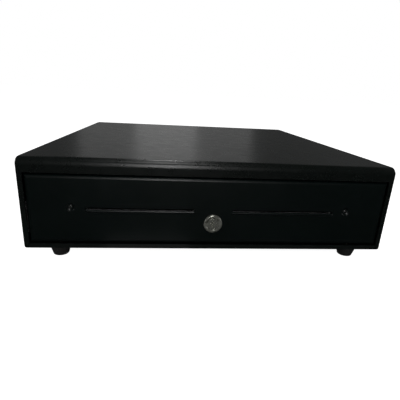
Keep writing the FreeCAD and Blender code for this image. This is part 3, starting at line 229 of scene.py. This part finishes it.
for key, names in USE.items():
    for n in names:
        ob = nodes[n]
        ob.data.materials.clear()
        ob.data.materials.append(M[key])
        ob["finish"] = key

# ---------------------------------------------------------------- stage, light, camera
scene = bpy.context.scene
scene.view_settings.view_transform = "Standard"
scene.view_settings.look = "None"
scene.view_settings.exposure = 0.0

bpy.ops.mesh.primitive_plane_add(size=400.0, location=(0, 0, 0))
floor = bpy.context.active_object
floor.name = "studio_floor"
fm, fnt, fb = new_mat("studio_floor_paint")
fv = coords(fnt)
fnt.links.new(mix_col(fnt, remap(fnt, noise(fnt, fv, 3.0, 3.0), 0.3, 0.7, 0, 1), (0.84, 0.84, 0.84), (0.87, 0.87, 0.868)),
              fb.inputs["Base Color"])
fb.inputs["Roughness"].default_value = 0.9
fb.inputs["Specular IOR Level"].default_value = 0.1
# A lit sweep: the paper glows evenly, so the floor runs into the background with no horizon.
glow = fnt.nodes.new("ShaderNodeEmission")
glow.inputs["Strength"].default_value = 0.94
fadd = fnt.nodes.new("ShaderNodeAddShader")
flp = fnt.nodes.new("ShaderNodeLightPath")
fmix = fnt.nodes.new("ShaderNodeMixShader")
fnt.links.new(fb.outputs["BSDF"], fadd.inputs[0])
fnt.links.new(glow.outputs["Emission"], fadd.inputs[1])
fnt.links.new(flp.outputs["Is Camera Ray"], fmix.inputs["Fac"])
fnt.links.new(fb.outputs["BSDF"], fmix.inputs[1])
fnt.links.new(fadd.outputs["Shader"], fmix.inputs[2])
fout = [n for n in fnt.nodes if n.type == "OUTPUT_MATERIAL"][0]
fnt.links.new(fmix.outputs["Shader"], fout.inputs["Surface"])
floor.data.materials.append(fm)
floor.visible_glossy = False

world = bpy.data.worlds.new("studio_world")
scene.world = world
world.use_nodes = True
wnt = world.node_tree
bg = wnt.nodes["Background"]
bg.inputs["Color"].default_value = (1.0, 1.0, 1.0, 1.0)
bg.inputs["Strength"].default_value = 0.08
bg2 = wnt.nodes.new("ShaderNodeBackground")
bg2.inputs["Color"].default_value = (1.0, 1.0, 1.0, 1.0)
bg2.inputs["Strength"].default_value = 1.0
wlp = wnt.nodes.new("ShaderNodeLightPath")
wmix = wnt.nodes.new("ShaderNodeMixShader")
wnt.links.new(wlp.outputs["Is Camera Ray"], wmix.inputs["Fac"])
wnt.links.new(bg.outputs["Background"], wmix.inputs[1])
wnt.links.new(bg2.outputs["Background"], wmix.inputs[2])
# The dim room that steel and gloss paint mirror, equally dim in every direction.
bg3 = wnt.nodes.new("ShaderNodeBackground")
bg3.inputs["Color"].default_value = (0.96, 1.0, 0.98, 1.0)
bg3.inputs["Strength"].default_value = 0.02
wmix2 = wnt.nodes.new("ShaderNodeMixShader")
wnt.links.new(wlp.outputs["Is Glossy Ray"], wmix2.inputs["Fac"])
wnt.links.new(wmix.outputs["Shader"], wmix2.inputs[1])
wnt.links.new(bg3.outputs["Background"], wmix2.inputs[2])
wnt.links.new(wmix2.outputs["Shader"], wnt.nodes["World Output"].inputs["Surface"])


def area(name, loc, target, size, size_y, power, colour=(1, 1, 1)):
    d = bpy.data.lights.new(name, "AREA")
    d.shape = "RECTANGLE"
    d.size, d.size_y, d.energy, d.color = size, size_y, power, colour
    o = bpy.data.objects.new(name, d)
    scene.collection.objects.link(o)
    o.location = loc
    o.rotation_euler = (Vector(target) - Vector(loc)).to_track_quat("-Z", "Y").to_euler()
    o.visible_camera = False
    return o


def around(name, elev, size, size_y, power, x=-0.055, dist=1.2):
    """An area light on an arc over the front top edge: 0 is in front, 90 straight above, 180 behind."""
    e = math.radians(elev)
    area(name, (x, -0.207 - dist * math.cos(e), 0.1 + dist * math.sin(e)), (x, -0.207, 0.1), size, size_y, power)


around("key_front", 24, 0.06, 0.9, 4.2)
around("key_over", 75, 0.14, 0.35, 1.5)
around("key_behind", 100, 0.14, 0.35, 0.6)
around("key_rear", 130, 0.14, 0.35, 1.2)
area("table_glow", (-0.075, -0.245, 0.003), (-0.075, -0.2449, 1.0), 0.1, 0.03, 0.002)
area("back_softbox", (-0.06, 1.9, 0.55), (0, 0, 0.1), 0.45, 0.8, 0.22)
area("back_softbox_mid", (-0.05, 1.93, 0.55), (0, 0, 0.1), 1.3, 0.8, 0.49)
area("back_softbox_wide", (0.3, 1.96, 0.55), (0, 0, 0.1), 4.5, 0.8, 0.53)
area("right_softbox", (2.0, 0.2, 1.3), (0, 0, 0.05), 1.4, 1.0, 0.88)
area("left_side_softbox", (-2.2, 0.1, 0.7), (0, 0, 0.06), 1.2, 1.0, 11.0)
area("right_side_softbox", (2.2, 0.1, 0.7), (0, 0, 0.06), 1.2, 1.0, 11.0)
area("left_rear_softbox", (-1.5, 1.5, 1.35), (0, 0, 0.06), 1.2, 1.0, 0.6)
area("right_rear_softbox", (1.5, 1.5, 1.35), (0, 0, 0.06), 1.2, 1.0, 0.3)

cam_data = bpy.data.cameras.new("camera")
cam = bpy.data.objects.new("camera", cam_data)
scene.collection.objects.link(cam)
f_px, yaw, pitch, roll = 330.604, -0.106677, 0.307727, 0.052563


def rows(*r):
    return Matrix(r)


B = rows((1, 0, 0), (0, 0, -1), (0, 1, 0))
Rz = rows((math.cos(yaw), math.sin(yaw), 0), (-math.sin(yaw), math.cos(yaw), 0), (0, 0, 1))
Rp = rows((1, 0, 0), (0, math.cos(pitch), -math.sin(pitch)), (0, math.sin(pitch), math.cos(pitch)))
Rr = rows((math.cos(roll), -math.sin(roll), 0), (math.sin(roll), math.cos(roll), 0), (0, 0, 1))
Rc = Rr @ Rp @ B @ Rz
right, down, ahead = Rc[0], Rc[1], Rc[2]
rot = Matrix((right, -down, -ahead)).transposed()
cam.matrix_world = Matrix.Translation((-0.052348, -0.548543, 0.180524)) @ rot.to_4x4()
cam_data.sensor_width = 36.0
cam_data.lens = f_px / 400.0 * 36.0
cam_data.clip_start = 0.01
scene.camera = cam
